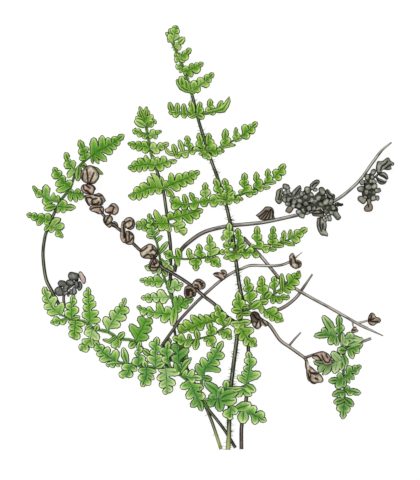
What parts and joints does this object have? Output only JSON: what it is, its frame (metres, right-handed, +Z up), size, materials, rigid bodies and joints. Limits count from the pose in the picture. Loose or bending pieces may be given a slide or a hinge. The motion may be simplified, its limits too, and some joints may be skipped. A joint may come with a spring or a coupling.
{
  "type": "fern fronds",
  "caption": "Cut fronds of a small tufted fern lying flat in a loose pile: green lobed blades on dark stalks, with dry brown fronds rolled up among them.",
  "frame": {"origin": "middle of the pile's outline, on the surface it lies on", "axes": "+Z up from the surface, +Y from the cut foot towards the tip of the tall frond, +X to the right seen from above"},
  "size_m": [0.1832, 0.2119, 0.0074],
  "materials": {
    "dark_stipe": "glossy dark olive-brown stalk",
    "green_blade": "satin green leaf blade",
    "fresh_blade": "satin yellow-green leaf blade",
    "deep_blade": "satin deep green leaf blade",
    "dry_brown": "matt brown withered blade and stalk",
    "dry_grey": "matt grey withered blade and stalk"
  },
  "bodies": {
    "root": {"tall_frond_stipe": "dark_stipe", "tall_frond_blade": "green_blade", "upper_left_frond_stipe": "dark_stipe", "upper_left_frond_blade": "green_blade", "middle_frond_stipe": "dark_stipe", "middle_frond_blade": "fresh_blade", "arching_frond_stipe": "dark_stipe", "arching_frond_blade": "deep_blade", "lower_left_frond_blade": "green_blade", "front_frond_stipe": "dark_stipe", "front_frond_blade": "green_blade", "right_frond_blade": "deep_blade", "withered_pinna": "dry_grey", "dead_frond_curled": "dry_brown", "dead_frond_beaded": "dry_grey", "dead_frond_crossing": "dry_brown", "dead_frond_forked": "dry_brown", "dead_frond_diagonal": "dry_brown", "dead_stalk_short": "dry_brown"}
  },
  "joints": []
}
